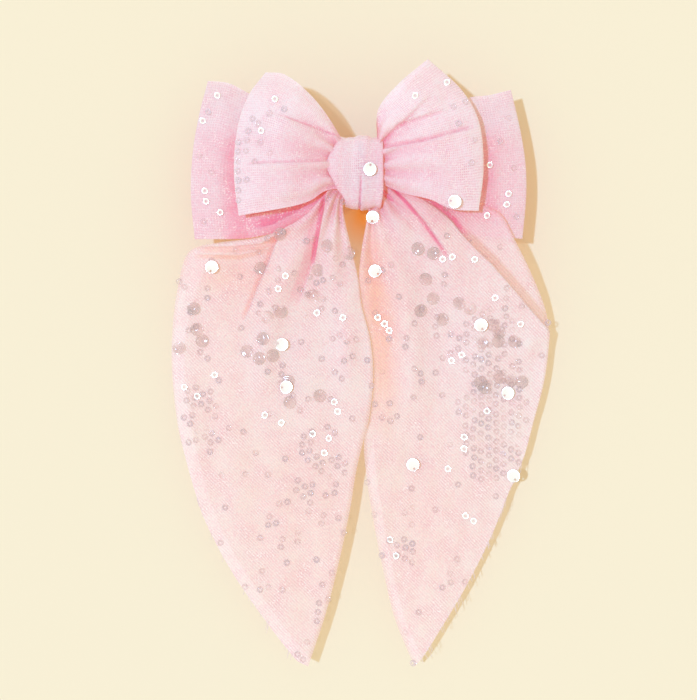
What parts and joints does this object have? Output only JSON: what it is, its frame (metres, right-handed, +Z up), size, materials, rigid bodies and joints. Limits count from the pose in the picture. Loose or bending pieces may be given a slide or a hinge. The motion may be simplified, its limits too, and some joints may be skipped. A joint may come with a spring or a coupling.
{
  "type": "hair bow",
  "caption": "Gathered mesh hair bow with two tiers of loops, a wrapped knot, two long pointed tails, sequins and a sprung barrette with a hinged clasp.",
  "frame": {"origin": "centre of the barrette's hair gap, between the tension bar and the closed clasp arm", "axes": "+Z up along the hanging tails (towards the loops' tops), -Y out of the bow's front, +X to the right seen from the front, where the clasp hinge is"},
  "size_m": [0.1598, 0.0375, 0.2528],
  "materials": {
    "mesh": "sheer woven mesh",
    "thread": "matt thread",
    "felt": "felt",
    "clip_steel": "nickel plated",
    "spring_steel": "rolled spring steel",
    "ring_sequin": "clear iridescent",
    "disc_sequin": "clear iridescent"
  },
  "bodies": {
    "bow": {"knot_wrap": "mesh", "front_loops": "mesh", "back_loops": "mesh", "tail_gather": "mesh", "gathering_thread": "thread", "felt_pad": "felt", "barrette_base": "clip_steel", "base_stitches": "thread", "hinge_pin": "clip_steel", "knot_sequins": "disc_sequin", "front_loop_small_sequins": "ring_sequin", "front_loop_large_sequins": "disc_sequin", "back_loop_small_sequins": "ring_sequin"},
    "clasp_arm": {"clasp_arm": "clip_steel"},
    "catch_prong_upper": {"catch_prong_upper": "clip_steel"},
    "catch_prong_lower": {"catch_prong_lower": "clip_steel"},
    "tension_bar": {"tension_bar": "spring_steel"},
    "left_tail": {"left_tail": "mesh", "left_tail_small_sequins": "ring_sequin", "left_tail_large_sequins": "disc_sequin"},
    "right_tail": {"right_tail": "mesh", "right_tail_small_sequins": "ring_sequin", "right_tail_large_sequins": "disc_sequin"}
  },
  "joints": [
    {"name": "clasp_hinge", "type": "hinge", "parent": "bow", "child": "clasp_arm", "pos_m": [0.038, 0.0037, 0], "axis": [0, 0, -1], "range_deg": [0, 75], "deforming": ["catch_prong_upper", "catch_prong_lower"]},
    {"name": "upper_prong_pinch", "type": "hinge", "parent": "bow", "child": "catch_prong_upper", "pos_m": [-0.038, -0.0003, 0.0024], "axis": [-1, 0, 0], "range_deg": [0, 7], "stiffness_Nm_per_rad": 0.25},
    {"name": "lower_prong_pinch", "type": "hinge", "parent": "bow", "child": "catch_prong_lower", "pos_m": [-0.038, -0.0003, -0.0024], "axis": [1, 0, 0], "range_deg": [0, 7], "stiffness_Nm_per_rad": 0.25},
    {"name": "tension_bar_press", "type": "slide", "parent": "bow", "child": "tension_bar", "axis": [0, -1, 0], "range_m": [0, 0.0006], "stiffness_N_per_m": 800},
    {"name": "left_tail_swing", "type": "hinge", "parent": "bow", "child": "left_tail", "pos_m": [-0.04, -0.006, -0.0286], "axis": [-1, 0, 0], "range_deg": [-4, 50]},
    {"name": "right_tail_swing", "type": "hinge", "parent": "bow", "child": "right_tail", "pos_m": [0.04, -0.006, -0.0286], "axis": [-1, 0, 0], "range_deg": [-4, 50]}
  ]
}
